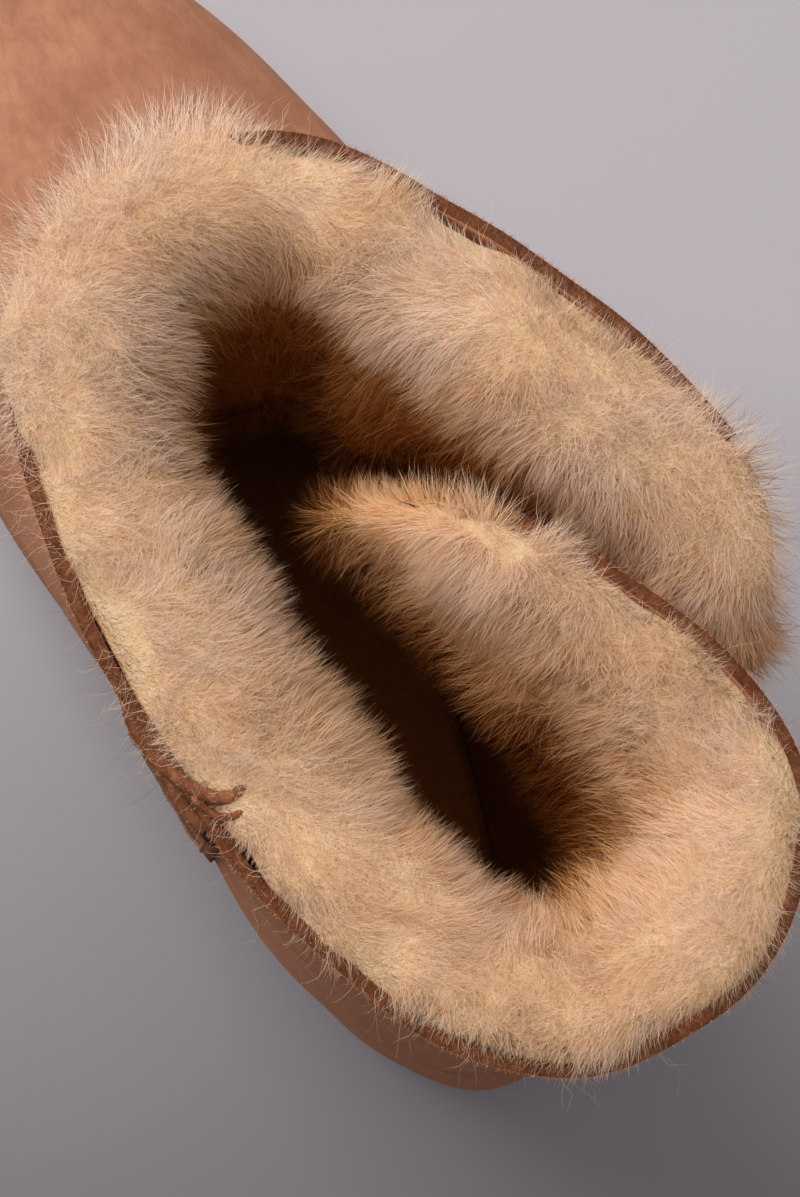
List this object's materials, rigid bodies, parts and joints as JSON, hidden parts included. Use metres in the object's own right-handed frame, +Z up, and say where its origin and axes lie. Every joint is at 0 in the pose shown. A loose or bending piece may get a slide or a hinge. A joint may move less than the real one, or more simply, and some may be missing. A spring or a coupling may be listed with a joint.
{
  "type": "sheepskin boot",
  "caption": "Ankle-high right-foot sheepskin boot with deep fleece inside, a wrap opening on its outer side and a flat lugged sole.",
  "frame": {"origin": "on the ground, under the middle of the boot's box", "axes": "+X towards the toe, +Y towards the inner side of the foot, +Z up"},
  "size_m": [0.2684, 0.1094, 0.2095],
  "materials": {
    "suede": "napped",
    "fleece": "deep wool pile",
    "sole": "matt"
  },
  "bodies": {
    "root": {"upper": "suede", "side_seam_strip": "suede", "outsole": "sole", "insole": "fleece"}
  },
  "joints": []
}
